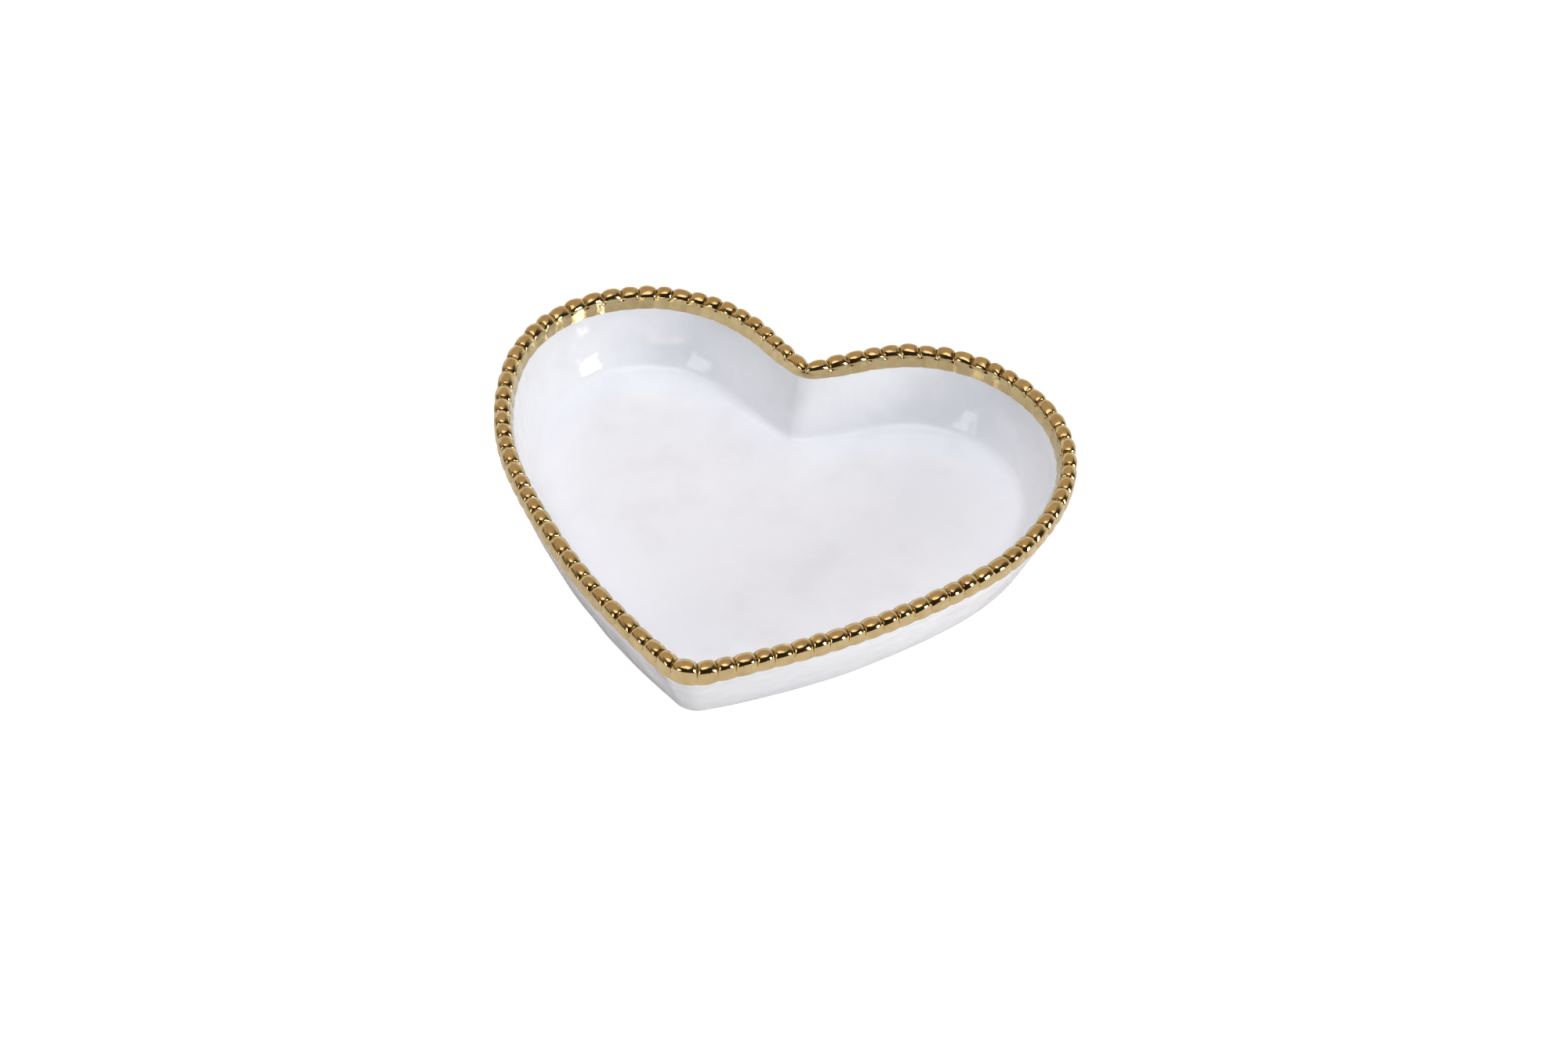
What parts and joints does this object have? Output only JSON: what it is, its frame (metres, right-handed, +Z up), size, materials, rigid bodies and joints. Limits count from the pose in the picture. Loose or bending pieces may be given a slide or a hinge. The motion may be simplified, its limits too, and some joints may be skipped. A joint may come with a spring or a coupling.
{
  "type": "heart-shaped trinket dish",
  "caption": "Open heart-shaped white porcelain dish with flared sides, a rounded floor edge and a row of gold lustre beads along its rim, for rings and other small things.",
  "frame": {"origin": "centre of the heart's overall width and length, on the plane that the dish stands on", "axes": "+X across the two lobes, +Y from the tip towards the cleft, +Z up"},
  "size_m": [0.2108, 0.1837, 0.0334],
  "materials": {
    "white_porcelain": "gloss",
    "gold_lustre": "polished"
  },
  "bodies": {
    "root": {"dish_body": "white_porcelain", "bead_tip": "gold_lustre", "bead_cleft_left": "gold_lustre", "bead_cleft_right": "gold_lustre", "bead_pair_left_01": "gold_lustre", "bead_pair_left_02": "gold_lustre", "bead_pair_left_03": "gold_lustre", "bead_pair_left_04": "gold_lustre", "bead_pair_left_05": "gold_lustre", "bead_pair_left_06": "gold_lustre", "bead_pair_left_07": "gold_lustre", "bead_pair_left_08": "gold_lustre", "bead_pair_left_09": "gold_lustre", "bead_pair_left_10": "gold_lustre", "bead_pair_left_11": "gold_lustre", "bead_pair_left_12": "gold_lustre", "bead_pair_left_13": "gold_lustre", "bead_pair_left_14": "gold_lustre", "bead_pair_left_15": "gold_lustre", "bead_pair_left_16": "gold_lustre", "bead_pair_left_17": "gold_lustre", "bead_pair_left_18": "gold_lustre", "bead_pair_left_19": "gold_lustre", "bead_pair_left_20": "gold_lustre", "bead_pair_left_21": "gold_lustre", "bead_pair_left_22": "gold_lustre", "bead_pair_right_01": "gold_lustre", "bead_pair_right_02": "gold_lustre", "bead_pair_right_03": "gold_lustre", "bead_pair_right_04": "gold_lustre", "bead_pair_right_05": "gold_lustre", "bead_pair_right_06": "gold_lustre", "bead_pair_right_07": "gold_lustre", "bead_pair_right_08": "gold_lustre", "bead_pair_right_09": "gold_lustre", "bead_pair_right_10": "gold_lustre", "bead_pair_right_11": "gold_lustre", "bead_pair_right_12": "gold_lustre", "bead_pair_right_13": "gold_lustre", "bead_pair_right_14": "gold_lustre", "bead_pair_right_15": "gold_lustre", "bead_pair_right_16": "gold_lustre", "bead_pair_right_17": "gold_lustre", "bead_pair_right_18": "gold_lustre", "bead_pair_right_19": "gold_lustre", "bead_pair_right_20": "gold_lustre", "bead_pair_right_21": "gold_lustre", "bead_pair_right_22": "gold_lustre"}
  },
  "joints": []
}
